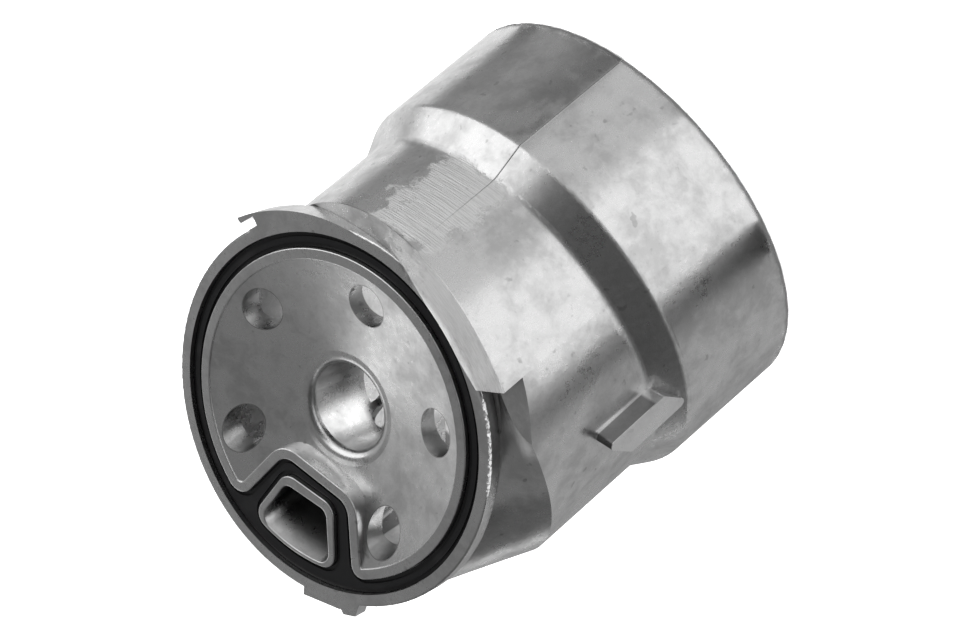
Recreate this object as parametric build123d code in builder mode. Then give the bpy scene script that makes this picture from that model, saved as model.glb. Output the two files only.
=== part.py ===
from build123d import *
from math import cos, hypot, radians, sin, sqrt, tan
import os

# Oil filter housing: a die-cast drum whose seal face is tilted against the drum axis.
# Millimetres. The drum axis is Z, the open mouth is at z = 0 and the seal face is at the top.

# Drum and neck, outside
mouth_radius = 51.9
drum_draft = 0.8
drum_top_radius = mouth_radius - drum_draft
shoulder_low = 33.6
shoulder_high = 41.6
neck_low_radius = 46.7
neck_high_radius = 46.0
neck_high = 88.0
shoulder_outer_round = 3.0
shoulder_inner_round = 5.0
mouth_edge = 0.6

# Drum and neck, inside
thread_wall = 3.3
thread_radius = mouth_radius - thread_wall
thread_length = 18.0
thread_lead_in = 1.2
seal_bore_step = 1.0
seal_bore_radius = thread_radius - seal_bore_step
seal_bore_length = 30.5
chamber_low = 38.5
neck_low_wall = 4.3
chamber_radius = neck_low_radius - neck_low_wall
neck_high_wall = 4.2
chamber_high_radius = neck_high_radius - neck_high_wall

# Seal face
face_tilt = 30.0
face_x = 7.2
face_y = -0.5
face_z = 89.4
flange_radius = 45.0
flange_thickness = 3.6
flange_edge = 0.5
neck_crease = 73.0
gasket_groove_radius = 42.1
gasket_groove_width = 3.6
gasket_groove_depth = 3.0
land_width = 2.6

# Dished floor with its centre bore and oil holes
dish_edge_depth = 0.4
dish_slope = 14.0
floor_along_normal = 3.7
floor_stock = 14.0
roof_depth = 5.6
roof_radius = 36.0
chamber_loft_low = 55.0
chamber_loft_x = -4.0
chamber_loft_radius = 46.0
bore_radius = 10.3
bore_mouth_drop = 1.5
bore_mouth_round = 2.4
face_edge_round = 0.35
turning_angle = 20.0
seat_radius = 6.0
seat_top = 76.5
bore_seat_radius = 13.6
bore_end = 25.5
boss_wall = 3.6
oil_hole_radius = 4.95
oil_hole_circle = 29.0
oil_hole_first = 46.8
oil_hole_count = 5
oil_hole_pitch = 65.0

# Drain port
port_low_left = (-9.8, 21.4)
port_low_right = (2.6, 23.6)
port_high_right_x = 5.2
port_high_left_x = -16.4
port_reach = 36.7
port_low_round = 2.6
port_high_round = 2.8
wall_low_left = (-10.9, 18.6)
wall_low_right = (3.9, 20.8)
wall_high_right_x = 7.2
wall_high_left_x = -18.4
wall_reach = 37.6
wall_low_round = 4.2
wall_high_round = 3.6
port_duct_length = 36.0
bay_high_left = (-27.0, 37.1)
bay_low_left = (-14.0, 15.4)
bay_low_right = (6.0, 17.2)
bay_high_right = (13.7, 42.5)
bay_round = 4.6
lobe_round_left = 3.0
lobe_round_right = 4.2

# Lip with its hook on the low side of the flange
lip_x = 4.5
lip_y = 3.5
lip_radius = 47.0
hook_angle = -31.5
hook_notch_length = 4.6
hook_notch_width = 2.2
lip_thickness = 6.0
lip_cut = -25.0

# Ground shoulder where the casting was cut from its gate
ground_height = 76.6
ground_rise_x = -0.134
ground_rise_y = 0.225
ground_end_angle = -136.5
ground_start_angle = -42.0

# Flange nub and drain boss at the back
nub_angle = 124.0
nub_reach = 2.7
nub_half = 2.4
tab_angle = 114.0
tab_reach = 1.4
tab_width = 11.0

# Pad on the side of the neck
pad_angle = -163.0
pad_low = 34.0
pad_high = 59.6
pad_width = 7.2
pad_skew = 6.9
pad_corner = 1.2
pad_proud = 0.2
pad_sink = 3.0

# Face seal
seal_clearance = 0.15
seal_below_face = 0.9
seal_bead_height = 0.5
seal_bead_inset = 1.15

top = 130.0
os.makedirs("parts", exist_ok=True)
slope = tan(radians(face_tilt))
flange_drop = flange_thickness / cos(radians(face_tilt))
face_plane = Plane(
    origin=(face_x, face_y, face_z),
    x_dir=(1, 0, 0),
    z_dir=(0, -sin(radians(face_tilt)), cos(radians(face_tilt))),
)
face_section = Plane(
    origin=(face_x, face_y, face_z),
    x_dir=(1, 0, 0),
    z_dir=(0, -cos(radians(face_tilt)), -sin(radians(face_tilt))),
)
face_axis = Axis((face_x, face_y, face_z), (0, -sin(radians(face_tilt)), cos(radians(face_tilt))))
down = (0, 0, -1)
up = (0, 0, 1)


def neck_radius_at(height):
    """Radius of the drafted neck at a height."""
    share = (height - shoulder_high) / (neck_high - shoulder_high)
    return neck_low_radius + share * (neck_high_radius - neck_low_radius)


def face_point(radius, angle):
    """A point of the seal face given by radius and angle, in the face's own plane."""
    return (radius * cos(radians(angle)), radius * sin(radians(angle)))


def port_shape(low_left, low_right, high_right, high_left, reach, low_round, high_round):
    """The drain port's four-sided outline, bowed along the rim, with rounded corners."""
    middle = (high_left[0] + high_right[0]) / 2
    with BuildSketch(mode=Mode.PRIVATE) as shape:
        with BuildLine():
            Polyline(high_left, low_left, low_right, high_right)
            ThreePointArc(high_right, (middle, sqrt(reach**2 - middle**2)), high_left)
        make_face()
        ranked = shape.vertices().sort_by(Axis.Y)
        fillet(ranked[0:2], low_round)
        fillet(shape.vertices().sort_by(Axis.Y)[-2:], high_round)
    return shape.sketch


def on_reach(reach, x):
    """The point of a circle round the face centre at a distance x to the side."""
    return (x, sqrt(reach**2 - x**2))


def island_outline():
    """The raised island inside the gasket groove, with the bay that leaves room for the port."""
    radius = gasket_groove_radius - gasket_groove_width
    with BuildSketch(mode=Mode.PRIVATE) as bay:
        with BuildLine():
            Polyline(bay_high_left, bay_low_left, bay_low_right, bay_high_right, close=True)
        make_face()
        fillet(bay.vertices().sort_by(Axis.Y)[0:2], bay_round)
    with BuildSketch(mode=Mode.PRIVATE) as shape:
        Circle(radius)
        add(bay.sketch, mode=Mode.SUBTRACT)
        tips = shape.vertices().filter_by_position(Axis.Y, 28, 40)
        fillet(tips.sort_by(Axis.X)[0], lobe_round_left)
        fillet(shape.vertices().sort_by(Axis.Y)[-1], lobe_round_right)
    return shape.sketch


port_inside = port_shape(
    port_low_left,
    port_low_right,
    on_reach(port_reach, port_high_right_x),
    on_reach(port_reach, port_high_left_x),
    port_reach,
    port_low_round,
    port_high_round,
)
port_outside = port_shape(
    wall_low_left,
    wall_low_right,
    on_reach(wall_reach, wall_high_right_x),
    on_reach(wall_reach, wall_high_left_x),
    wall_reach,
    wall_low_round,
    wall_high_round,
)
duct_outside = port_outside
island = island_outline()

# Upright plane in which the turned forms are drawn
turning_plane = Plane(
    origin=(0, 0, 0),
    x_dir=(cos(radians(turning_angle)), sin(radians(turning_angle)), 0),
    z_dir=(sin(radians(turning_angle)), -cos(radians(turning_angle)), 0),
)

# Drum and neck as one turned form
with BuildPart() as drum:
    with BuildSketch(turning_plane) as drum_profile:
        with BuildLine():
            Polyline(
                (0, 0),
                (mouth_radius, 0),
                (drum_top_radius, shoulder_low),
                (neck_low_radius, shoulder_high),
                (neck_radius_at(top), top),
                (0, top),
                close=True,
            )
        make_face()
        fillet(drum_profile.vertices().filter_by_position(Axis.Y, shoulder_low - 1, shoulder_low + 1),
               shoulder_outer_round)
        fillet(drum_profile.vertices().filter_by_position(Axis.Y, shoulder_high - 1, shoulder_high + 1),
               shoulder_inner_round)
    revolve(axis=Axis.Z)


def flange_reach(angle):
    """Distance from the face centre line to the flange edge, measured level at an angle."""
    short = flange_radius * cos(radians(face_tilt))
    return 1 / sqrt((cos(radians(angle)) / flange_radius) ** 2 + (sin(radians(angle)) / short) ** 2)


def neck_reach(angle):
    """Distance from the face centre line to the neck's surface at the crease, at an angle."""
    along = face_x * cos(radians(angle)) + face_y * sin(radians(angle))
    radius = neck_radius_at(neck_crease)
    return -along + sqrt(along**2 + radius**2 - face_x**2 - face_y**2)


def radial_plane(angle):
    """Upright plane through the face centre line; its X runs outward and its Y up."""
    c, s = cos(radians(angle)), sin(radians(angle))
    return Plane(origin=(face_x, face_y, 0), x_dir=(c, s, 0), z_dir=(s, -c, 0))


blend_base = -60.0
blend_core = 12.0
blend_overlap = 0.4
blend_reach = 6.2
blend_first = ground_end_angle
blend_last = 62.0 - 360.0
blend_steps = 8

# Blend between the neck's crease and the back of the tilted flange
with BuildPart() as blend:
    for step in range(blend_steps + 1):
        angle = blend_first + (blend_last - blend_first) * step / blend_steps
        edge = flange_reach(angle)
        back = face_z + edge * sin(radians(angle)) * slope - flange_drop
        rise = (neck_crease - back) / (neck_reach(angle) - edge)
        outer = neck_reach(angle) + blend_reach
        core_top = face_z + blend_core * sin(radians(angle)) * slope - flange_drop / 2
        with BuildSketch(radial_plane(angle)):
            with BuildLine():
                Polyline(
                    (blend_core, blend_base),
                    (outer, blend_base),
                    (outer, back + rise * (outer - edge)),
                    (edge - blend_overlap, back - rise * blend_overlap),
                    (blend_core, core_top),
                    close=True,
                )
            make_face()
    loft()

far = 2 * flange_radius

# Low side, where the neck ends in one ground plane
ground_plane = Plane(
    origin=(0, 0, ground_height),
    z_dir=(-ground_rise_x, -ground_rise_y, 1),
)
with BuildPart() as low_side:
    with BuildSketch(Plane.XY.offset(blend_base)):
        with BuildLine():
            low_angles = [ground_end_angle, -115.0, -90.0, -65.0, ground_start_angle]
            low_far = [(face_x + far * cos(radians(a)), face_y + far * sin(radians(a))) for a in low_angles]
            Polyline((face_x, face_y), *low_far, close=True)
        make_face()
    extrude(amount=top - blend_base)
    split(bisect_by=ground_plane, keep=Keep.BOTTOM)
    add(drum.part, mode=Mode.INTERSECT)

# Far side, where the neck runs straight up under the flange
with BuildPart() as far_side:
    with BuildSketch(Plane.XY.offset(blend_base)):
        with BuildLine():
            far_angles = [ground_start_angle, -20.0, 0.0, 30.0, blend_last + 360.0]
            far_far = [(face_x + far * cos(radians(a)), face_y + far * sin(radians(a))) for a in far_angles]
            Polyline((face_x, face_y), *far_far, close=True)
        make_face()
    extrude(amount=top - blend_base)

# Flange disc with its softened edge
with BuildPart() as flange:
    with BuildSketch(face_plane):
        Circle(flange_radius)
    extrude(amount=-flange_thickness)
    fillet(flange.edges().sort_by(face_axis)[-1], flange_edge)

with BuildPart() as housing:
    add(blend.part)
    add(far_side.part)
    with Locations((face_x, face_y, blend_base)):
        Cylinder(blend_core + 1, top - blend_base, align=(Align.CENTER, Align.CENTER, Align.MIN))
    add(drum.part, mode=Mode.INTERSECT)
    split(bisect_by=face_plane.offset(-flange_thickness / 2), keep=Keep.BOTTOM)
    add(low_side.part)
    add(flange.part)
    with BuildSketch(face_plane):
        Circle(gasket_groove_radius - gasket_groove_width)
    extrude(amount=-floor_stock)

    # Lip beyond the flange on the low side, ending in a notched hook
    lip_plane = face_plane.offset(-lip_thickness)
    wide = 2 * lip_radius
    with BuildSketch(lip_plane):
        with Locations((lip_x, lip_y)):
            Circle(lip_radius)
        with Locations((0, lip_cut)):
            Rectangle(2 * wide, wide, align=(Align.CENTER, Align.MIN), mode=Mode.SUBTRACT)
        with Locations(Location((0, 0, 0), (0, 0, hook_angle))):
            Rectangle(wide, wide, align=(Align.MIN, Align.MIN), mode=Mode.SUBTRACT)
            with Locations((flange_radius, -hook_notch_length)):
                Rectangle(hook_notch_width, wide, align=(Align.MIN, Align.MIN), mode=Mode.SUBTRACT)
    extrude(amount=lip_thickness)

    # Nub and boss at the back of the flange
    with BuildSketch(face_plane):
        with Locations(Location((0, 0, 0), (0, 0, nub_angle))):
            with Locations((flange_radius - 3 + (nub_reach + 3) / 2, 0)):
                Trapezoid(4 * nub_half, nub_reach + 3, 62, rotation=-90)
        with Locations(Location((0, 0, 0), (0, 0, tab_angle))):
            with Locations((flange_radius - 3 + (tab_reach + 3) / 2, 0)):
                Rectangle(tab_reach + 3, tab_width)
    extrude(amount=-flange_thickness)

    # Pad on the side of the neck
    pad_radius = drum_top_radius + pad_proud
    pad_depth = pad_radius - neck_low_radius + pad_sink
    pad_out = (cos(radians(pad_angle)), sin(radians(pad_angle)), 0)
    pad_plane = Plane(
        origin=(pad_radius * pad_out[0], pad_radius * pad_out[1], 0),
        x_dir=(-pad_out[1], pad_out[0], 0),
        z_dir=pad_out,
    )
    with BuildSketch(pad_plane) as pad_sketch:
        with BuildLine():
            Polyline(
                (pad_width / 2, pad_high),
                (-pad_width / 2, pad_high - pad_skew),
                (-pad_width / 2, pad_low),
                (pad_width / 2, pad_low + pad_skew),
                close=True,
            )
        make_face()
        fillet(pad_sketch.vertices(), pad_corner)
    extrude(amount=-pad_depth)

# Conical floor of the dish
dish_rise = tan(radians(dish_slope))
dish_edge = gasket_groove_radius - gasket_groove_width - land_width
bore_depth = dish_edge_depth + (dish_edge - bore_seat_radius) * dish_rise
with BuildPart() as dish_floor:
    with BuildSketch(face_section):
        with BuildLine():
            Polyline(
                (0, -bore_depth - bore_mouth_drop),
                (bore_seat_radius, -bore_depth),
                (dish_edge, -dish_edge_depth),
                (dish_edge + 3, -dish_edge_depth),
                (dish_edge + 3, -bore_end),
                (0, -bore_end),
                close=True,
            )
        make_face()
    revolve(axis=face_axis)

with BuildPart() as dish:
    with BuildSketch(face_plane.offset(1)):
        add(island)
        offset(amount=-land_width, kind=Kind.ARC)
    extrude(amount=-bore_depth - bore_mouth_drop - 2)
    add(dish_floor.part, mode=Mode.SUBTRACT)

# Chamber inside the neck, under the tilted floor
with BuildPart() as chamber:
    with BuildSketch(Plane.XY.offset(chamber_loft_low)):
        with Locations((chamber_loft_x, 0)):
            Circle(chamber_loft_radius)
    with BuildSketch(face_plane.offset(-roof_depth)):
        Circle(roof_radius)
    loft()
    with BuildSketch(Plane.XY.offset(chamber_loft_low)):
        Circle(chamber_radius)
    extrude(amount=chamber_low - chamber_loft_low)
    with BuildSketch(turning_plane) as chamber_profile:
        with BuildLine():
            Polyline(
                (0, chamber_low),
                (chamber_radius, chamber_low),
                (chamber_high_radius, top),
                (0, top),
                close=True,
            )
        make_face()
    revolve(axis=Axis.Z, mode=Mode.INTERSECT)
    # The floor plate, the boss round the bore and the drain duct stay solid
    with BuildSketch(face_section):
        with BuildLine():
            Polyline(
                (0, 0),
                (roof_radius, 0),
                (roof_radius, -dish_edge_depth - floor_along_normal),
                (bore_seat_radius, -bore_depth - floor_along_normal),
                (bore_radius + boss_wall, -bore_end),
                (0, -bore_end),
                close=True,
            )
        make_face()
    revolve(axis=face_axis, mode=Mode.SUBTRACT)
    with BuildSketch(face_plane):
        add(duct_outside)
    extrude(amount=port_duct_length, dir=down, mode=Mode.SUBTRACT)
    # Upright seat in the boss for the cartridge's spigot
    with Locations((0, 0, chamber_low + 1)):
        Cylinder(seat_radius, seat_top - chamber_low - 1, align=(Align.CENTER, Align.CENTER, Align.MIN))

# Mouth bore with the land for the cap seal
with BuildPart() as mouth:
    with BuildSketch(turning_plane):
        with BuildLine():
            Polyline(
                (0, -1),
                (thread_radius + thread_lead_in, -1),
                (thread_radius + thread_lead_in, 0),
                (thread_radius, thread_lead_in),
                (thread_radius, thread_length),
                (seal_bore_radius, thread_length + 1),
                (seal_bore_radius, seal_bore_length),
                (chamber_radius, chamber_low),
                (chamber_radius, chamber_low + 0.2),
                (0, chamber_low + 0.2),
                close=True,
            )
        make_face()
    revolve(axis=Axis.Z)

# Grooves, bore, holes and port cut into the face
with BuildPart() as face_cuts:
    with BuildSketch(face_plane):
        Circle(gasket_groove_radius)
        add(island, mode=Mode.SUBTRACT)
        add(port_outside, mode=Mode.SUBTRACT)
    extrude(amount=-gasket_groove_depth)
    with BuildSketch(face_plane):
        Circle(gasket_groove_radius)
    extrude(amount=gasket_groove_depth)
    with BuildSketch(face_plane):
        add(port_inside)
    extrude(amount=port_duct_length + 5, dir=down)

with BuildPart() as bore:
    with Locations(face_plane):
        Cylinder(
            bore_radius,
            bore_end + 2,
            rotation=(0, 0, turning_angle),
            align=(Align.CENTER, Align.CENTER, Align.MAX),
        )

hole_drop = dish_edge_depth + (dish_edge - oil_hole_circle) * dish_rise
with BuildPart() as oil_holes:
    for index in range(oil_hole_count):
        spot = face_point(oil_hole_circle, oil_hole_first - oil_hole_pitch * index)
        x = face_x + spot[0]
        y = face_y + spot[1] * cos(radians(face_tilt)) + hole_drop * sin(radians(face_tilt))
        with Locations((x, y, chamber_low + 1)):
            Cylinder(oil_hole_radius, top - chamber_low, align=(Align.CENTER, Align.CENTER, Align.MIN))

with housing:
    add(mouth.part, mode=Mode.SUBTRACT)
    add(chamber.part, mode=Mode.SUBTRACT)
    add(dish.part, mode=Mode.SUBTRACT)
    add(face_cuts.part, mode=Mode.SUBTRACT)
    add(bore.part, mode=Mode.SUBTRACT)
    add(oil_holes.part, mode=Mode.SUBTRACT)

    # Softened edges of the bore mouth and of all that ends in the face
    bore_mouth = housing.edges().filter_by(GeomType.CIRCLE).filter_by(
        lambda edge: abs(edge.radius - bore_radius) < 0.01
    )
    fillet(bore_mouth.sort_by(face_axis)[-1], bore_mouth_round)
    in_face = housing.edges().filter_by(
        lambda edge: all(abs(face_plane.to_local_coords(edge @ t).Z) < 0.01 for t in (0.0, 0.5, 1.0))
    )
    inside_groove = in_face.filter_by(
        lambda edge: all(
            hypot(face_plane.to_local_coords(edge @ t).X, face_plane.to_local_coords(edge @ t).Y)
            < gasket_groove_radius - 0.1
            for t in (0.0, 0.5, 1.0)
        )
    )
    fillet(inside_groove, face_edge_round)
    rim_edge = housing.edges().filter_by(GeomType.CIRCLE).filter_by(
        lambda edge: abs(edge.radius - mouth_radius) < 0.01
    )
    fillet(rim_edge.sort_by(Axis.Z)[0], mouth_edge)

housing.part.label = "oil_filter_housing"
export_step(housing.part, "parts/oil_filter_housing.step")

# Face seal: one moulding that fills the groove network with a little room all round
with BuildPart() as seal:
    with BuildSketch(face_plane.offset(-gasket_groove_depth)):
        Circle(gasket_groove_radius)
        add(island, mode=Mode.SUBTRACT)
        add(port_outside, mode=Mode.SUBTRACT)
        offset(amount=-seal_clearance, kind=Kind.ARC)
    extrude(amount=gasket_groove_depth - seal_below_face - seal_bead_height)
    with BuildSketch(face_plane.offset(-seal_below_face - seal_bead_height)):
        Circle(gasket_groove_radius)
        add(island, mode=Mode.SUBTRACT)
        add(port_outside, mode=Mode.SUBTRACT)
        offset(amount=-seal_bead_inset, kind=Kind.ARC)
    extrude(amount=seal_bead_height)

seal.part.label = "face_seal"
export_step(seal.part, "parts/face_seal.step")
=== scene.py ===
"""Studio picture of a die-cast oil filter housing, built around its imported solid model."""

import logging
import math
from dataclasses import dataclass
from enum import Enum
from typing import Sequence, Union

import bpy
from mathutils import Matrix, Vector


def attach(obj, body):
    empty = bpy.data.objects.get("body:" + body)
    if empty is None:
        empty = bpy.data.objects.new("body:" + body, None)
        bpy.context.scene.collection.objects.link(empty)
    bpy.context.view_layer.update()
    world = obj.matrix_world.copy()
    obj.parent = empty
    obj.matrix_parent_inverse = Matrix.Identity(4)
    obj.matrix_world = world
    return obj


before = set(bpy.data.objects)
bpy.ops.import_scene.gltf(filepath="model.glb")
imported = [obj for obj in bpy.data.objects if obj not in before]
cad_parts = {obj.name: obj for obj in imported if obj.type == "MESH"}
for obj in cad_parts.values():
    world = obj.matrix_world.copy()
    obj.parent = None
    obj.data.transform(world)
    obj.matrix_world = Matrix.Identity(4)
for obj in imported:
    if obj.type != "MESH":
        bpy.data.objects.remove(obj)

LOG = logging.getLogger("oil_filter_housing")
MM = 0.001
SKY_STRENGTH = 0.20
BLACK = (0.0, 0.0, 0.0)
WHITE = (1.0, 1.0, 1.0)

Number = Union[int, float]
Triple = tuple[float, float, float]


class Kind(Enum):
    """What a signal in a material carries."""

    NUMBER = "number"
    COLOUR = "colour"
    VECTOR = "vector"


SOCKET_KINDS = {
    "VALUE": Kind.NUMBER,
    "INT": Kind.NUMBER,
    "RGBA": Kind.COLOUR,
    "VECTOR": Kind.VECTOR,
}


class Signal:
    """A value inside a material that can be added, scaled and mixed like a plain number."""

    def __init__(self, board: "Board", socket: bpy.types.NodeSocket) -> None:
        """Wrap one output socket.

        Args:
            board: The material board that the socket belongs to.
            socket: The output socket that carries the value.
        """
        self.board = board
        self.socket = socket
        self.kind = SOCKET_KINDS[socket.type]

    def _combine(self, operation: str, other: "Value", swapped: bool = False) -> "Signal":
        """Combine with another value through the node that suits both kinds.

        Args:
            operation: Name of the sum, such as ADD or MULTIPLY.
            other: The second value.
            swapped: True where this signal is the second operand.

        Returns:
            The combined signal.
        """
        first, second = (other, self) if swapped else (self, other)
        kinds = {self.kind, other.kind if isinstance(other, Signal) else Kind.NUMBER}
        if Kind.COLOUR in kinds:
            return self.board.mix(first, second, 1.0, operation)
        if Kind.VECTOR in kinds:
            return self.board.vector_math(operation, first, second)
        return self.board.math(operation, first, second)

    def __add__(self, other: "Value") -> "Signal":
        """Sum of this signal and another value."""
        return self._combine("ADD", other)

    def __radd__(self, other: "Value") -> "Signal":
        """Sum with this signal on the right."""
        return self._combine("ADD", other, True)

    def __sub__(self, other: "Value") -> "Signal":
        """Difference of this signal and another value."""
        return self._combine("SUBTRACT", other)

    def __rsub__(self, other: "Value") -> "Signal":
        """Difference with this signal on the right."""
        return self._combine("SUBTRACT", other, True)

    def __mul__(self, other: "Value") -> "Signal":
        """Product of this signal and another value."""
        return self._combine("MULTIPLY", other)

    def __rmul__(self, other: "Value") -> "Signal":
        """Product with this signal on the right."""
        return self._combine("MULTIPLY", other, True)

    def __truediv__(self, other: "Value") -> "Signal":
        """Quotient of this signal and another value."""
        return self._combine("DIVIDE", other)

    def __rtruediv__(self, other: "Value") -> "Signal":
        """Quotient with this signal below the line."""
        return self._combine("DIVIDE", other, True)

    def __neg__(self) -> "Signal":
        """This signal with its sign turned."""
        return self * -1.0

    def clipped(self) -> "Signal":
        """This number held between zero and one."""
        return self.board.ramp_between(self, 0.0, 1.0)


Value = Union[Signal, Number, Sequence[float]]


class Board:
    """The node board of one material."""

    def __init__(self, name: str) -> None:
        """Make an empty material with one surface shader.

        Args:
            name: Name of the material.
        """
        self.material = bpy.data.materials.new(name)
        self.material.use_nodes = True
        self.tree = self.material.node_tree
        self.tree.nodes.clear()
        self.output = self.tree.nodes.new("ShaderNodeOutputMaterial")
        self.shader = self.tree.nodes.new("ShaderNodeBsdfPrincipled")
        self.tree.links.new(self.shader.outputs[0], self.output.inputs["Surface"])

    def feed(self, socket: bpy.types.NodeSocket, value: Value) -> None:
        """Link a signal to a socket, or set a plain value on it.

        Args:
            socket: The input socket.
            value: A signal, a number or a list of numbers.
        """
        if isinstance(value, Signal):
            self.tree.links.new(value.socket, socket)
        elif socket.type == "RGBA" and isinstance(value, (int, float)):
            socket.default_value = (value, value, value, 1.0)
        elif socket.type == "RGBA":
            socket.default_value = (*tuple(value)[:3], 1.0)
        elif socket.type == "VECTOR" and isinstance(value, (int, float)):
            socket.default_value = (value, value, value)
        else:
            socket.default_value = value

    def node(
        self,
        kind: str,
        settings: dict[str, object],
        inputs: dict[object, Value],
        output: object = 0,
    ) -> Signal:
        """Place any other node on the board.

        Args:
            kind: The node's type name.
            settings: Attributes to set on the node.
            inputs: Values for its input sockets, by name or number.
            output: Name or number of the output to take.

        Returns:
            The chosen output as a signal.
        """
        node = self.tree.nodes.new(kind)
        for key, value in settings.items():
            setattr(node, key, value)
        for key, value in inputs.items():
            self.feed(node.inputs[key], value)
        return Signal(self, node.outputs[output])

    def math(self, operation: str, first: Value, second: Value = 0.0) -> Signal:
        """One sum on numbers."""
        return self.node("ShaderNodeMath", {"operation": operation}, {0: first, 1: second})

    def vector_math(self, operation: str, first: Value, second: Value = 0.0) -> Signal:
        """One sum on vectors."""
        return self.node("ShaderNodeVectorMath", {"operation": operation}, {0: first, 1: second})

    def mix(self, first: Value, second: Value, share: Value = 0.5, blend: str = "MIX") -> Signal:
        """Mix two colours.

        Args:
            first: The colour where the share is zero.
            second: The colour where the share is one.
            share: How much of the second colour shows.
            blend: Blend mode.

        Returns:
            The mixed colour.
        """
        node = self.tree.nodes.new("ShaderNodeMix")
        node.data_type = "RGBA"
        node.blend_type = blend
        self.feed(node.inputs[0], share)
        self.feed(node.inputs[6], first)
        self.feed(node.inputs[7], second)
        return Signal(self, node.outputs[2])

    def ramp_between(
        self,
        value: Value,
        low: float,
        high: float,
        start: float = 0.0,
        end: float = 1.0,
    ) -> Signal:
        """Map a range of numbers smoothly onto another.

        Args:
            value: The number to map.
            low: Value that gives the start.
            high: Value that gives the end.
            start: Result at or below the low value.
            end: Result at or above the high value.

        Returns:
            The mapped number.
        """
        settings = {"interpolation_type": "SMOOTHSTEP"}
        return self.node("ShaderNodeMapRange", settings, {0: value, 1: low, 2: high, 3: start, 4: end})

    def axis(self, vector: Signal, number: int) -> Signal:
        """One component of a vector, by its number."""
        return self.node("ShaderNodeSeparateXYZ", {}, {0: vector}, number)

    def length(self, vector: Signal) -> Signal:
        """Length of a vector."""
        return self.node("ShaderNodeVectorMath", {"operation": "LENGTH"}, {0: vector}, "Value")

    def dot(self, first: Signal, second: Triple) -> Signal:
        """Dot product of two vectors."""
        settings = {"operation": "DOT_PRODUCT"}
        return self.node("ShaderNodeVectorMath", settings, {0: first, 1: second}, "Value")

    def place(self) -> Signal:
        """Position in the object's own frame, in metres."""
        return self.node("ShaderNodeTexCoord", {}, {}, "Object")

    def stretched(self, place: Signal, scale: Triple, turn: Triple = (0.0, 0.0, 0.0)) -> Signal:
        """The place stretched and turned, for textures with a grain.

        Args:
            place: The place to start from.
            scale: Factors along the three axes.
            turn: Turn about the three axes, in radians.

        Returns:
            The stretched place.
        """
        return self.node("ShaderNodeMapping", {}, {"Vector": place, "Rotation": turn, "Scale": scale})

    def noise(
        self,
        place: Signal,
        size: float,
        detail: float = 4.0,
        rough: float = 0.55,
        warp: float = 0.0,
    ) -> Signal:
        """Cloudy noise with features of a given size.

        Args:
            place: Where to read it.
            size: Size of a feature in metres.
            detail: Number of finer layers.
            rough: Strength of the finer layers.
            warp: How far the clouds are pulled about.

        Returns:
            A number around one half.
        """
        inputs: dict[object, Value] = {
            "Vector": place,
            "Scale": 1.0 / size,
            "Detail": detail,
            "Roughness": rough,
            "Distortion": warp,
        }
        return self.node("ShaderNodeTexNoise", {}, inputs)

    def bump(
        self,
        height: Value,
        depth: float,
        strength: float = 1.0,
        below: Union[Signal, None] = None,
    ) -> Signal:
        """Turn a height into a surface normal.

        Args:
            height: Height from zero to one.
            depth: Depth of the relief in metres.
            strength: Overall strength.
            below: A normal to add to.

        Returns:
            The normal.
        """
        inputs: dict[object, Value] = {"Height": height, "Distance": depth, "Strength": strength}
        if below is not None:
            inputs["Normal"] = below
        return self.node("ShaderNodeBump", {}, inputs)

    def finish(self, **inputs: Value) -> bpy.types.Material:
        """Feed the surface shader and give the material.

        Args:
            **inputs: Values for shader sockets, with underscores for spaces.

        Returns:
            The finished material.
        """
        for key, value in inputs.items():
            self.feed(self.shader.inputs[key.replace("_", " ")], value)
        return self.material


@dataclass(frozen=True)
class Spot:
    """Where a point of the surface lies about the drum's axis, as signals in one material."""

    place: Signal
    turn: Signal
    height: Signal
    reach: Signal

    @classmethod
    def on(cls, board: Board) -> "Spot":
        """Read the place and work out the rest.

        Args:
            board: The node board.

        Returns:
            The spot, with its turn in radians and its height and reach in metres.
        """
        place = board.place()
        turn = board.math("ARCTAN2", board.axis(place, 1), board.axis(place, 0))
        flat = board.vector_math("MULTIPLY", place, (1.0, 1.0, 0.0))
        return cls(place, turn, board.axis(place, 2), board.length(flat))


@dataclass(frozen=True)
class FaceSpot:
    """Where a point of the surface lies against the tilted seal face."""

    across: Signal
    along: Signal
    lift: Signal
    reach: Signal


@dataclass(frozen=True)
class FaceFrame:
    """Where the tilted seal face lies."""

    x: float = 7.2 * MM
    y: float = -0.5 * MM
    z: float = 89.4 * MM
    tilt: float = math.radians(30.0)

    def spot(self, board: Board, place: Signal) -> FaceSpot:
        """Read a place in the face's own frame.

        Args:
            board: The node board.
            place: Position on the piece.

        Returns:
            Distances across and up the lean, above the face and from the face's middle line.
        """
        normal = (0.0, -math.sin(self.tilt), math.cos(self.tilt))
        up_lean = (0.0, math.cos(self.tilt), math.sin(self.tilt))
        away = board.vector_math("SUBTRACT", place, (self.x, self.y, self.z))
        reach = board.length(board.vector_math("CROSS_PRODUCT", away, normal))
        return FaceSpot(board.axis(away, 0), board.dot(away, up_lean), board.dot(away, normal), reach)


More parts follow.
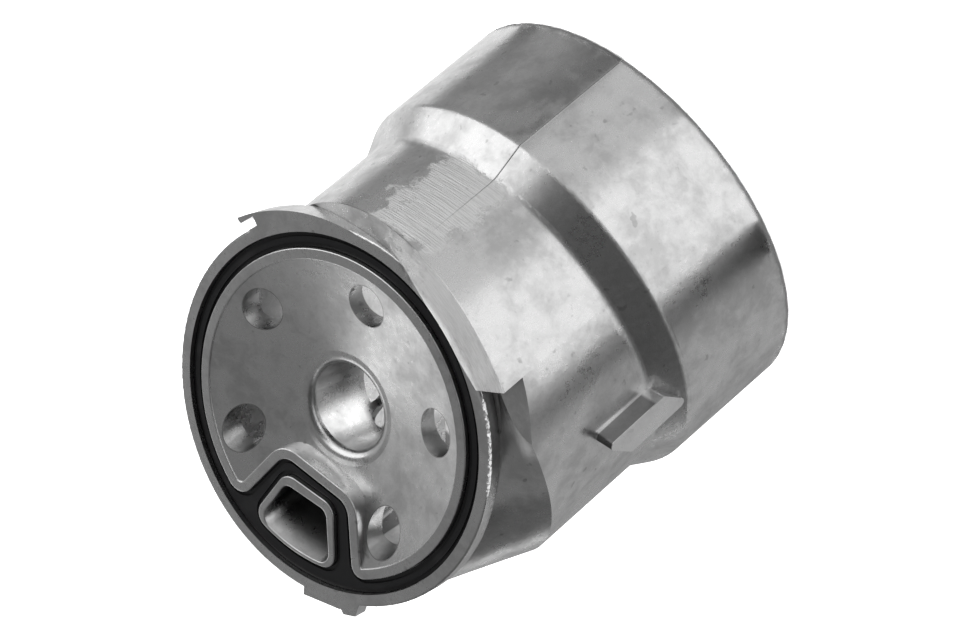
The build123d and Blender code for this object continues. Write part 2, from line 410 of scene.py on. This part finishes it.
@dataclass(frozen=True)
class SandedPatch:
    """The hand-sanded area on the neck, given by turn about the drum's axis and by height."""

    start: float = math.radians(-93.0)
    end: float = math.radians(-66.0)
    low: float = 41.0 * MM
    high: float = 66.0 * MM
    turn_edge: float = 0.08
    height_edge: float = 2.0 * MM
    notch: float = 6.0 * MM
    stroke_scale: Triple = (160.0, 160.0, 3200.0)
    stroke_turn: Triple = (0.0, 0.32, 0.0)
    stroke_depth: float = 0.16 * MM
    roughness: float = 0.26

    def mask(self, board: Board, spot: Spot) -> Signal:
        """Where the patch lies, with a ragged edge.

        Args:
            board: The node board.
            spot: Where the surface lies.

        Returns:
            One inside the patch and zero outside.
        """
        ragged = (board.noise(spot.place, self.notch, 5.0, 0.75) - 0.5) * 0.5
        turn = spot.turn + ragged
        height = spot.height + ragged * 0.02
        return (
            board.ramp_between(turn, self.start, self.start + self.turn_edge)
            * board.ramp_between(turn, self.end, self.end - self.turn_edge)
            * board.ramp_between(height, self.low, self.low + self.height_edge)
            * board.ramp_between(height, self.high, self.high - self.height_edge)
        )

    def strokes(self, board: Board, spot: Spot) -> Signal:
        """The long strokes that the sanding left."""
        return board.noise(board.stretched(spot.place, self.stroke_scale, self.stroke_turn), 1.0, 3.0, 0.6)


@dataclass(frozen=True)
class GroundCrescent:
    """The crescent ground flat beside the flange, on a plane that leans against the drum's axis."""

    plane: Triple = (0.134, -0.225, 1.0)
    level: float = 76.6 * MM
    sanded_to: float = math.radians(-86.0)
    inner: float = 36.0 * MM
    first_turn: float = -2.40
    last_turn: float = 0.0
    notch: float = 5.0 * MM
    ring_scale: float = 3000.0
    ring_turn: float = 9.0
    stroke_depth: float = 0.12 * MM
    darkness: float = 0.35
    roughness: float = 0.22

    def masks(self, board: Board, spot: Spot) -> tuple[Signal, Signal]:
        """Where the crescent is sanded and where it isn't.

        Args:
            board: The node board.
            spot: Where the surface lies.

        Returns:
            The sanded part and the rest, one on each and zero elsewhere.
        """
        off = board.math("ABSOLUTE", board.dot(spot.place, self.plane) - self.level)
        ragged = (board.noise(spot.place, self.notch, 4.0, 0.7) - 0.5) * 0.4
        sanded = board.ramp_between(spot.turn + ragged, self.sanded_to + 0.05, self.sanded_to - 0.08)
        crescent = (
            board.ramp_between(off, 0.35 * MM, 0.12 * MM)
            * board.ramp_between(spot.reach, self.inner, self.inner + 2.0 * MM)
            * board.ramp_between(spot.turn, self.last_turn, self.last_turn - 0.1)
            * board.ramp_between(spot.turn, self.first_turn, self.first_turn + 0.07)
        )
        return crescent * sanded, crescent * (1.0 - sanded)

    def circles(self, board: Board, spot: Spot) -> Signal:
        """The circular strokes that the grinding left."""
        inputs = {0: spot.reach * self.ring_scale, 1: spot.turn * self.ring_turn, 2: 0.0}
        return board.noise(board.node("ShaderNodeCombineXYZ", {}, inputs), 1.0, 3.0, 0.6)


@dataclass(frozen=True)
class PartingLine:
    """The line where the two halves of the mould met, and the painted shade beside it on the drum."""

    turn: float = math.radians(-85.0)
    width: float = 0.004
    skin: float = 45.2 * MM
    fades_from: float = 44.0 * MM
    fades_to: float = 64.0 * MM
    darkness: float = 0.55
    depth: float = 0.12 * MM
    shade_width: float = 0.34
    shade_high: float = 34.0 * MM
    shade_blot_size: float = 9.0 * MM

    def mask(self, board: Board, spot: Spot) -> Signal:
        """Where the line runs.

        Args:
            board: The node board.
            spot: Where the surface lies.

        Returns:
            One on the line and zero elsewhere.
        """
        off = board.math("ABSOLUTE", spot.turn - self.turn)
        return (
            board.ramp_between(off, self.width, 0.0)
            * board.ramp_between(spot.reach, self.skin, self.skin + 0.4 * MM)
            * board.ramp_between(spot.height, self.fades_to, self.fades_from)
        )

    def blotches(self, board: Board, spot: Spot) -> Signal:
        """Painted shade in dark blotches along one side of the line.

        Args:
            board: The node board.
            spot: Where the surface lies.

        Returns:
            One where the drum is darkest.
        """
        blots = board.ramp_between(board.noise(spot.place, self.shade_blot_size, 4.0, 0.6, 0.3), 0.40, 0.60)
        beside = board.ramp_between(spot.turn, self.turn, self.turn + 0.01)
        near = board.ramp_between(spot.turn, self.turn + self.shade_width, self.turn + 0.04)
        low = board.ramp_between(spot.height, self.shade_high, self.shade_high - 1.5 * MM)
        return beside * near * (0.45 + 0.55 * blots) * low


@dataclass(frozen=True)
class BoreWallShade:
    """Painted shade on the walls of the oil holes and, less so, of the centre bore."""

    hole_radius: float = 4.95 * MM
    holes: tuple[tuple[float, float], ...] = (
        (10.63 * MM, -24.38 * MM),
        (34.75 * MM, -7.28 * MM),
        (27.05 * MM, 18.87 * MM),
        (-17.07 * MM, 14.31 * MM),
        (-17.45 * MM, -12.67 * MM),
    )
    hole_low: float = 58.0 * MM
    bore_radius: float = 10.3 * MM
    bore_share: float = 0.8
    darkness: float = 0.5

    def mask(self, board: Board, spot: Spot, at_face: FaceSpot) -> Signal:
        """Where the painted shade lies.

        Args:
            board: The node board.
            spot: Where the surface lies.
            at_face: Where it lies against the seal face.

        Returns:
            One on the walls of the oil holes and zero elsewhere.
        """
        flat = board.vector_math("MULTIPLY", spot.place, (1.0, 1.0, 0.0))
        walls: Value = 0.0
        for across, along in self.holes:
            off = board.length(board.vector_math("SUBTRACT", flat, (across, along, 0.0)))
            walls = board.ramp_between(off, self.hole_radius + 0.25 * MM, self.hole_radius + 0.1 * MM) + walls
        walls = walls * board.ramp_between(spot.height, self.hole_low, self.hole_low + 1.0 * MM)
        bore = board.ramp_between(at_face.reach, self.bore_radius + 0.3 * MM, self.bore_radius + 0.1 * MM)
        return (walls + bore * self.bore_share).clipped()


@dataclass(frozen=True)
class PortShade:
    """Painted shade inside the drain port, darker deeper in, in the face's own frame."""

    across: tuple[float, float] = (-17.0 * MM, 6.0 * MM)
    along: tuple[float, float] = (20.5 * MM, 37.5 * MM)
    edge: float = 0.5 * MM
    starts: float = -0.8 * MM
    darkest: float = -5.0 * MM
    skin: float = 45.2 * MM
    darkness: float = 0.8

    def mask(self, board: Board, spot: Spot, at_face: FaceSpot) -> Signal:
        """Where the painted shade lies.

        Args:
            board: The node board.
            spot: Where the surface lies.
            at_face: Where it lies against the seal face.

        Returns:
            One deep in the port and zero elsewhere.
        """
        left, right = self.across
        near, far = self.along
        return (
            board.ramp_between(at_face.across, left - self.edge, left)
            * board.ramp_between(at_face.across, right + self.edge, right)
            * board.ramp_between(at_face.along, near - self.edge, near)
            * board.ramp_between(at_face.along, far + self.edge, far)
            * board.ramp_between(at_face.lift, self.starts, self.darkest)
            * board.ramp_between(spot.reach, self.skin, self.skin - 0.6 * MM)
        )


@dataclass(frozen=True)
class FlangeBurr:
    """The bright burr left along a part of the flange's edge, with painted glints that glow on it."""

    flange_radius: float = 45.0 * MM
    start: float = math.radians(-166.0)
    end: float = math.radians(-130.0)
    notch: float = 0.7 * MM
    painted_glint_size: float = 0.6 * MM
    painted_glint_strength: float = 0.55
    depth: float = 0.4 * MM
    roughness: float = 0.3

    def mask(self, board: Board, spot: Spot, at_face: FaceSpot) -> Signal:
        """Where the burr lies, with a ragged edge.

        Args:
            board: The node board.
            spot: Where the surface lies.
            at_face: Where it lies against the seal face.

        Returns:
            One on the burr and zero elsewhere.
        """
        ragged = (board.noise(spot.place, self.notch, 3.0, 0.7) - 0.5) * (1.6 * MM)
        inner, outer = self.flange_radius - 0.45 * MM, self.flange_radius - 0.15 * MM
        mask = (
            board.ramp_between(at_face.reach + ragged, inner, outer)
            * board.ramp_between(at_face.lift + ragged * 0.5, -0.9 * MM, -0.5 * MM)
            * board.ramp_between(spot.turn, self.start, self.start + 0.15)
            * board.ramp_between(spot.turn, self.end, self.end - 0.05)
        )
        return mask.clipped()

    def painted_glints(self, board: Board, spot: Spot) -> Signal:
        """Painted glints: points on the burr that glow as highlights."""
        return board.ramp_between(board.noise(spot.place, self.painted_glint_size, 2.0, 0.5), 0.44, 0.56)


@dataclass(frozen=True)
class SidePad:
    """The worked pad on the side of the neck: painted shade on its walls and a painted highlight on its top.
    """

    turn: float = math.radians(-149.0)
    wall_reach: float = 46.9 * MM
    wall_low: float = 43.0 * MM
    wall_high: float = 64.0 * MM
    top_reach: float = 51.15 * MM
    top_low: float = 34.5 * MM
    darkness: float = 0.75
    brightness: float = 0.45

    def masks(self, board: Board, spot: Spot) -> tuple[Signal, Signal]:
        """Where the painted shade on the pad's walls and the painted highlight on its top lie.

        Args:
            board: The node board.
            spot: Where the surface lies.

        Returns:
            The walls and the top, one on each and zero elsewhere.
        """
        side = board.ramp_between(spot.turn, self.turn, self.turn - 0.04)
        top = board.ramp_between(spot.reach, self.top_reach, self.top_reach + 0.1 * MM) * board.ramp_between(
            spot.height, self.top_low, self.top_low + 0.5 * MM
        )
        walls = (
            board.ramp_between(spot.reach, self.wall_reach, self.wall_reach + 0.3 * MM)
            * board.ramp_between(spot.height, self.wall_low, self.wall_low + 1.0 * MM)
            * board.ramp_between(spot.height, self.wall_high, self.wall_high - 1.0 * MM)
            * (1.0 - top)
        )
        return walls * side, top * side


@dataclass(frozen=True)
class CastMetal:
    """Finish of the as-cast aluminium body, with painted shade and painted highlights in places."""

    light: Triple = (0.70, 0.70, 0.70)
    dark: Triple = (0.36, 0.36, 0.36)
    # Bright colour: bare metal where sanded, ground or burred, and a painted highlight on the pad's top.
    bare_and_highlight: Triple = (0.86, 0.86, 0.86)
    # Dark colour: soot in the specks and pits, the dark seam and the darker unsanded part of the crescent,
    # and painted shade in the oil holes, the drain port, beside the parting line and on the pad's walls.
    soot_and_shade: Triple = (0.10, 0.10, 0.10)
    roughness: float = 0.30
    cloud: float = 16.0 * MM
    cloud_depth: float = 0.3 * MM
    speckle: float = 1.3 * MM
    speckle_share: float = 0.22
    pit: float = 2.6 * MM
    pit_share: float = 0.3
    grain: float = 0.32 * MM
    grain_depth: float = 0.03 * MM
    patch: SandedPatch = SandedPatch()
    crescent: GroundCrescent = GroundCrescent()
    parting: PartingLine = PartingLine()
    bores: BoreWallShade = BoreWallShade()
    port: PortShade = PortShade()
    burr: FlangeBurr = FlangeBurr()
    pad: SidePad = SidePad()

    def material(self, face: FaceFrame) -> bpy.types.Material:
        """Build the finish.

        Args:
            face: Where the seal face lies, for the marks round it.

        Returns:
            The material.
        """
        board = Board("as_cast_aluminium")
        spot = Spot.on(board)
        at_face = face.spot(board, spot.place)

        clouds = board.noise(spot.place, self.cloud, 7.0, 0.62, 0.15)
        blotches = board.noise(spot.place, self.cloud * 0.3, 6.0, 0.7, 0.3)
        speckle = board.noise(spot.place, self.speckle, 4.0, 0.65)
        grain = board.noise(spot.place, self.grain, 2.0, 0.5)
        pits = board.ramp_between(board.noise(spot.place, self.pit, 2.0, 0.4), 0.70, 0.76)
        tone = board.ramp_between(clouds * 0.6 + blotches * 0.4, 0.38, 0.62)

        sanded = self.patch.mask(board, spot)
        strokes = self.patch.strokes(board, spot)
        ground, unsanded = self.crescent.masks(board, spot)
        circles = self.crescent.circles(board, spot)
        seam = self.parting.mask(board, spot)
        burr = self.burr.mask(board, spot, at_face)
        pad_wall_shade, pad_top_highlight = self.pad.masks(board, spot)

        skin = board.mix(self.dark, self.light, board.ramp_between(tone, -0.9, 0.9))
        layers = (
            (self.soot_and_shade, board.ramp_between(speckle, 0.60, 0.76) * self.speckle_share),
            (self.soot_and_shade, pits * self.pit_share),
            (self.bare_and_highlight, sanded * (0.55 + 0.45 * board.ramp_between(strokes, 0.42, 0.60))),
            (self.bare_and_highlight, ground * (0.5 + 0.5 * board.ramp_between(circles, 0.40, 0.62))),
            (self.soot_and_shade, unsanded * self.crescent.darkness),
            # Painted shade on the walls of the oil holes and the centre bore.
            (self.soot_and_shade, self.bores.mask(board, spot, at_face) * self.bores.darkness),
            # Painted shade in blotches beside the parting line on the drum.
            (self.soot_and_shade, self.parting.blotches(board, spot) * self.parting.darkness),
            (self.soot_and_shade, seam * self.parting.darkness),
            (self.bare_and_highlight, burr),
            # Painted shade deep in the drain port.
            (self.soot_and_shade, self.port.mask(board, spot, at_face) * self.port.darkness),
            # Painted shade on the pad's walls, and below it a painted highlight on its top.
            (self.soot_and_shade, pad_wall_shade * self.pad.darkness),
            (self.bare_and_highlight, pad_top_highlight * self.pad.brightness),
        )
        colour = skin
        for layer, share in layers:
            colour = board.mix(colour, layer, share)

        roughness = (
            self.roughness
            + (tone - 0.5) * -0.08
            + (speckle - 0.5) * 0.16
            + sanded * self.patch.roughness
            + ground * self.crescent.roughness
            + burr * self.burr.roughness
        )
        normal = board.bump(grain * 0.5 + speckle * 0.5, self.grain_depth, 0.7)
        normal = board.bump(clouds, self.cloud_depth, 0.4, normal)
        normal = board.bump(strokes * sanded, self.patch.stroke_depth, 1.0, normal)
        normal = board.bump(circles * ground, self.crescent.stroke_depth, 1.0, normal)
        normal = board.bump(seam, self.parting.depth, 0.8, normal)
        normal = board.bump(burr * speckle, self.burr.depth, 1.0, normal)
        painted_glints = burr * self.burr.painted_glints(board, spot)
        return board.finish(
            Base_Color=colour,
            Roughness=roughness,
            Metallic=1.0,
            Normal=normal,
            # Painted glints: emission on the burr stands in for highlights.
            Emission_Color=board.mix(BLACK, WHITE, painted_glints),
            Emission_Strength=self.burr.painted_glint_strength,
        )


@dataclass(frozen=True)
class MouldedRubber:
    """Finish of the black face seal."""

    colour: Triple = (0.006, 0.006, 0.0065)
    dust: Triple = (0.03, 0.03, 0.03)
    roughness: float = 0.36

    def material(self) -> bpy.types.Material:
        """Build the finish."""
        board = Board("moulded_rubber")
        place = board.place()
        haze = board.noise(place, 9.0 * MM, 4.0, 0.6)
        pores = board.noise(place, 0.4 * MM, 2.0, 0.5)
        colour = board.mix(self.colour, self.dust, board.ramp_between(haze, 0.5, 0.8) * 0.35)
        roughness = self.roughness + (haze - 0.5) * 0.2
        normal = board.bump(pores, 0.02 * MM, 0.4)
        return board.finish(Base_Color=colour, Roughness=roughness, Specular_IOR_Level=0.3, Normal=normal)


@dataclass(frozen=True)
class StudioFloor:
    """Finish of the pale studio floor."""

    colour: Triple = (0.92, 0.92, 0.92)
    paler: Triple = (0.95, 0.95, 0.95)
    cloud: float = 0.8
    glow: float = 1.0
    half_side: float = 4.0

    def material(self) -> bpy.types.Material:
        """Build the finish."""
        board = Board("pale_floor")
        tone = board.noise(board.place(), self.cloud, 2.0, 0.5)
        return board.finish(
            Base_Color=board.mix(self.colour, self.paler, tone),
            Roughness=0.8,
            Emission_Color=WHITE,
            Emission_Strength=self.glow,
        )


class Piece:
    """One shown piece of the object."""

    def __init__(self, name: str, slot: str) -> None:
        """Remember the piece's name and material slot.

        Args:
            name: Name of the piece.
            slot: Name of its material slot, kept on the piece.
        """
        self.name = name
        self.slot = slot

    def dress(self, thing: bpy.types.Object, material: bpy.types.Material) -> None:
        """Give an object its only material and report it.

        Args:
            thing: The object to dress.
            material: The material it gets.
        """
        thing.data.materials.clear()
        thing.data.materials.append(material)
        LOG.info("%s dressed as %s: %d faces", thing.name, material.name, len(thing.data.polygons))


class Housing(Piece):
    """The cast body and what its surface shows."""

    def __init__(self, finish: CastMetal, face: FaceFrame) -> None:
        """Prepare the casting.

        Args:
            finish: The as-cast finish.
            face: Where the seal face lies.
        """
        super().__init__("oil_filter_housing", "cast_body")
        self.finish = finish
        self.face = face

    def build(self) -> None:
        """Dress the casting."""
        self.dress(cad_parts[self.name], self.finish.material(self.face))


@dataclass(frozen=True)
class ThreadSize:
    """Sizes of the thread that takes the screw cap."""

    wall_radius: float = 48.6 * MM
    depth: float = 0.9 * MM
    foot_width: float = 1.9 * MM
    crest_width: float = 0.7 * MM
    pitch: float = 3.0 * MM
    first_height: float = 3.2 * MM
    turns: float = 4.4
    run_out: float = 0.12
    sunk: float = 0.08 * MM
    steps_per_turn: int = 120


class CapThread(Piece):
    """The thread inside the open mouth."""

    def __init__(self, size: ThreadSize, finish: CastMetal, face: FaceFrame) -> None:
        """Prepare the thread.

        Args:
            size: Its sizes.
            finish: The cast finish it shares with the body.
            face: Where the seal face lies.
        """
        super().__init__("cap_thread", "cast_body")
        self.size = size
        self.finish = finish
        self.face = face

    def section(self, swell: float) -> list[tuple[float, float]]:
        """Radius and height of the ridge's section.

        Args:
            swell: How far the ridge has grown, from zero to one.

        Returns:
            Four corners from foot to foot.
        """
        foot = self.size.wall_radius + self.size.sunk
        crest = self.size.wall_radius - self.size.depth * swell + self.size.sunk * (1.0 - swell) * 0.5
        half_foot = self.size.foot_width / 2.0
        half_crest = self.size.crest_width / 2.0
        return [(foot, -half_foot), (crest, -half_crest), (crest, half_crest), (foot, half_foot)]

    def build(self) -> None:
        """Wind the ridge and put it in the mouth."""
        steps = int(self.size.turns * self.size.steps_per_turn)
        points: list[Triple] = []
        for index in range(steps + 1):
            share = index / steps
            swell = min(1.0, share / self.size.run_out, (1.0 - share) / self.size.run_out)
            angle = math.tau * self.size.turns * share
            middle = self.size.first_height + self.size.pitch * self.size.turns * share
            for radius, height in self.section(swell):
                points.append((radius * math.cos(angle), radius * math.sin(angle), middle + height))
        faces = [
            (4 * i + k, 4 * i + 4 + k, 4 * i + 5 + k, 4 * i + 1 + k)
            for i in range(steps)
            for k in range(3)
        ]
        mesh = bpy.data.meshes.new(self.name)
        mesh.from_pydata(points, [], faces)
        thread = bpy.data.objects.new(self.name, mesh)
        bpy.context.scene.collection.objects.link(thread)
        for polygon in mesh.polygons:
            polygon.use_smooth = False
        self.dress(thread, self.finish.material(self.face))
        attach(thread, "root")


class FaceSeal(Piece):
    """The moulded seal in the face groove."""

    def __init__(self, finish: MouldedRubber) -> None:
        """Prepare the seal.

        Args:
            finish: The rubber finish.
        """
        super().__init__("face_seal", "seal_rubber")
        self.finish = finish

    def build(self) -> None:
        """Dress the seal."""
        self.dress(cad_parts[self.name], self.finish.material())


@dataclass(frozen=True)
class SoftBox:
    """One rectangular studio lamp."""

    name: str
    place: Triple
    target: Triple
    width: float
    height: float
    power: float
    shines: bool = True

    def build(self) -> bpy.types.Object:
        """Hang the lamp and aim it."""
        data = bpy.data.lights.new(self.name, "AREA")
        data.shape = "RECTANGLE"
        data.size = self.width
        data.size_y = self.height
        data.energy = self.power
        lamp = bpy.data.objects.new(self.name, data)
        bpy.context.scene.collection.objects.link(lamp)
        lamp.location = self.place
        aim = Vector(self.target) - Vector(self.place)
        lamp.rotation_euler = aim.to_track_quat("-Z", "Y").to_euler()
        lamp.visible_glossy = self.shines
        LOG.info("lamp %s of %.1f W", self.name, self.power)
        return lamp


def reflected_card(name: str, columns: Sequence[tuple[Triple, Triple]], glow: float) -> bpy.types.Object:
    """Make a card that shows in reflections only.

    Args:
        name: Name of the card.
        columns: Pairs of points, from one end of the card to the other.
        glow: How bright it is.

    Returns:
        The card, put on the stage.
    """
    corners = [corner for column in columns for corner in column]
    strips = [(2 * i, 2 * i + 1, 2 * i + 3, 2 * i + 2) for i in range(len(columns) - 1)]
    mesh = bpy.data.meshes.new(name)
    mesh.from_pydata(corners, [], strips)
    card = bpy.data.objects.new(name, mesh)
    bpy.context.scene.collection.objects.link(card)
    board = Board(name)
    mesh.materials.append(
        board.finish(
            Base_Color=BLACK,
            Roughness=1.0,
            Specular_IOR_Level=0.0,
            Emission_Color=WHITE,
            Emission_Strength=glow,
        )
    )
    card.visible_camera = False
    card.visible_diffuse = False
    card.visible_shadow = False
    LOG.info("card %s with a glow of %.2f", name, glow)
    return card


@dataclass(frozen=True)
class Card:
    """A card on the floor that a stretch of the upright wall mirrors towards the camera.

    The stretch runs from start to end, as turns about the drum's axis in degrees.
    """

    name: str
    start: float
    end: float
    glow: float
    near: float = 2.0 * MM
    far: float = 0.9
    wall_radius: float = 52.0 * MM
    sight: float = 112.9
    lift: float = 0.5 * MM
    steps: int = 24

    def point(self, turn: float, reach: float) -> Triple:
        """A point on the card.

        Args:
            turn: Turn on the wall, in degrees.
            reach: Distance from the wall along the mirrored line of sight.

        Returns:
            The point in the row frame.
        """
        foot = math.radians(turn)
        away = math.radians(2.0 * turn + self.sight)
        across = self.wall_radius * math.cos(foot) + reach * math.cos(away)
        along = self.wall_radius * math.sin(foot) + reach * math.sin(away)
        return across, along, self.lift

    def build(self) -> bpy.types.Object:
        """Sweep the mirrored lines of sight over the floor."""
        turns = [self.start + (self.end - self.start) * i / self.steps for i in range(self.steps + 1)]
        columns = [(self.point(turn, self.near), self.point(turn, self.far)) for turn in turns]
        return reflected_card(self.name, columns, self.glow)


@dataclass(frozen=True)
class Flag:
    """An upright screen round the part, dark or lit, seen only in the metal's reflections.

    It runs from start to end about the drum's axis and from low to high above the floor, in degrees.
    """

    name: str
    start: float
    end: float
    low: float
    high: float
    glow: float
    reach: float = 0.8
    steps: int = 24

    def point(self, turn: float, lift: float) -> Triple:
        """A point on the screen.

        Args:
            turn: Turn about the drum's axis, in degrees.
            lift: Angle above the floor, in degrees.

        Returns:
            The point in the row frame.
        """
        angle = math.radians(turn)
        height = self.reach * math.tan(math.radians(lift))
        return self.reach * math.cos(angle), self.reach * math.sin(angle), height

    def build(self) -> bpy.types.Object:
        """Bend the screen round the drum's axis and stand it up."""
        turns = [self.start + (self.end - self.start) * i / self.steps for i in range(self.steps + 1)]
        columns = [(self.point(turn, self.low), self.point(turn, self.high)) for turn in turns]
        return reflected_card(self.name, columns, self.glow)


@dataclass(frozen=True)
class Viewpoint:
    """Where the photograph was taken from."""

    place: Triple = (-0.1642, -0.3918, 0.2307)
    ahead: Triple = (0.3570, 0.8455, -0.3971)
    right: Triple = (-0.7137, -0.0274, -0.7000)
    focal_length: float = 75.42
    sensor: float = 36.0

    def build(self) -> bpy.types.Object:
        """Set up the camera."""
        data = bpy.data.cameras.new("viewpoint")
        data.lens = self.focal_length
        data.sensor_width = self.sensor
        data.clip_start = 0.01
        data.clip_end = 20.0
        camera = bpy.data.objects.new("viewpoint", data)
        bpy.context.scene.collection.objects.link(camera)
        back = -Vector(self.ahead).normalized()
        side = Vector(self.right)
        side = (side - back * side.dot(back)).normalized()
        top = back.cross(side)
        turn = Matrix((side, top, back)).transposed()
        camera.matrix_world = Matrix.Translation(Vector(self.place)) @ turn.to_4x4()
        bpy.context.scene.camera = camera
        return camera


class Studio:
    """Floor, lamps, sky and camera."""

    def __init__(
        self,
        floor: StudioFloor,
        lamps: Sequence[SoftBox],
        cards: Sequence[Card | Flag],
        viewpoint: Viewpoint,
        sky: float,
    ) -> None:
        """Prepare the studio.

        Args:
            floor: Finish of the floor.
            lamps: The lamps to hang.
            cards: The cards and screens to set up round the part.
            viewpoint: Where the camera stands.
            sky: Strength of the even light from all round.
        """
        self.floor = floor
        self.lamps = lamps
        self.cards = cards
        self.viewpoint = viewpoint
        self.sky = sky

    def build(self) -> None:
        """Build the whole studio."""
        half = self.floor.half_side
        mesh = bpy.data.meshes.new("floor")
        corners = [(-half, -half, 0.0), (half, -half, 0.0), (half, half, 0.0), (-half, half, 0.0)]
        mesh.from_pydata(corners, [], [(0, 1, 2, 3)])
        plane = bpy.data.objects.new("floor", mesh)
        bpy.context.scene.collection.objects.link(plane)
        mesh.materials.append(self.floor.material())
        for lamp in self.lamps:
            lamp.build()
        for card in self.cards:
            card.build()
        world = bpy.data.worlds.new("studio_sky")
        world.use_nodes = True
        background = world.node_tree.nodes["Background"]
        background.inputs["Color"].default_value = (*WHITE, 1.0)
        background.inputs["Strength"].default_value = self.sky
        bpy.context.scene.world = world
        bpy.context.scene.view_settings.view_transform = "Standard"
        self.viewpoint.build()


def studio_lamps() -> list[SoftBox]:
    """The lamps: one large key, one narrow rim light and a faint one inside the chamber."""
    middle = (0.0, 0.0, 60.0 * MM)
    return [
        SoftBox("key", (-0.60, -0.05, 0.95), middle, 1.1, 1.1, 9.0, False),
        SoftBox("rim", (0.80, -0.42, 0.42), (0.0, 0.0, 50.0 * MM), 0.30, 0.9, 9.0, False),
        SoftBox("chamber", (0.0, 0.0, 12.0 * MM), middle, 0.05, 0.05, 0.012),
    ]


def studio_cards() -> list[Card | Flag]:
    """The cards and screens that the metal mirrors, from the far edge of the wall to the near one."""
    return [
        # Painted contact shade: a dim card at the drum's foot that the rim mirrors as a dark line.
        Card("card_contact_shade", -200.0, -25.0, 0.22, 0.2 * MM, 2.0 * MM),
        Card("card_bright", -49.0, -25.0, 1.00),
        Card("card_streak", -57.0, -49.0, 0.18),
        Card("card_right", -85.0, -57.0, 0.34),
        Card("card_middle", -105.5, -85.0, 0.66),
        Card("card_front", -137.5, -105.5, 1.15),
        Card("card_dark", -147.0, -137.5, 0.03),
        Card("card_left", -178.0, -147.0, 0.45),
        Card("card_back", -200.0, -178.0, 0.36),
        Flag("flag_front", -205.0, -80.0, 12.0, 48.0, 0.06),
        Flag("flag_left", 118.0, 155.0, 2.0, 40.0, 0.12),
        Flag("screen_shoulder", -72.0, 4.0, 1.0, 40.0, 1.45),
        Flag("screen_dish", 5.0, 44.0, 26.0, 56.0, 0.50),
        Flag("screen_ground", 44.0, 78.0, 22.0, 54.0, 1.30),
    ]


def main() -> None:
    logging.basicConfig(level=logging.INFO, format="%(name)s: %(message)s")
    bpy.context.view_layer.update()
    face = FaceFrame()
    Housing(CastMetal(), face).build()
    CapThread(ThreadSize(), CastMetal(), face).build()
    FaceSeal(MouldedRubber()).build()
    Studio(StudioFloor(), studio_lamps(), studio_cards(), Viewpoint(), SKY_STRENGTH).build()


if __name__ == "__main__":
    main()
